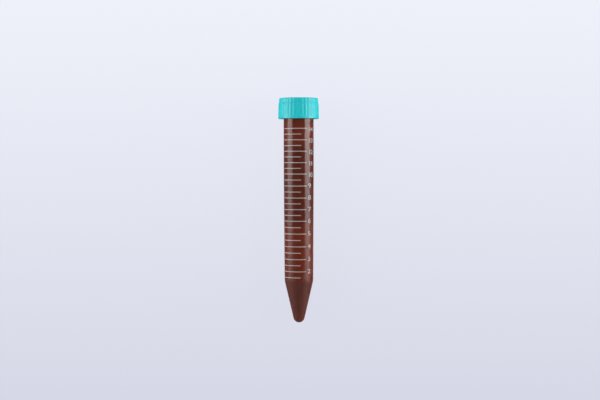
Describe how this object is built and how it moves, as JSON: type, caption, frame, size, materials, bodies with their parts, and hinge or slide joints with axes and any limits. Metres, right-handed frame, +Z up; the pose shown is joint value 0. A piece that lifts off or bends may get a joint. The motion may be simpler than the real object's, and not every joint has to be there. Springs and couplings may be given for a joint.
{
  "type": "conical centrifuge tube",
  "caption": "Translucent amber tube with a long barrel, conical tip and printed volume scale, closed by a ribbed turquoise screw cap with a plug seal.",
  "frame": {"origin": "on the bench, under the middle of the closed tube's bounding box as it lies at rest", "axes": "+Y along the bench towards the cap, +Z up, +X to the right of the printed scale; the scale faces up, and the tube's own axis rises 2.13 degrees towards the cap"},
  "size_m": [0.0216, 0.1202, 0.0218],
  "materials": {
    "tube": "gloss",
    "cap": "satin"
  },
  "bodies": {
    "tube": {"tube": "tube"},
    "cap": {"cap": "cap"}
  },
  "joints": [
    {"name": "cap_lift", "type": "slide", "parent": "tube", "child": "cap", "axis": [0, 0.9993, 0.0372], "range_m": [0, 0.025]}
  ]
}
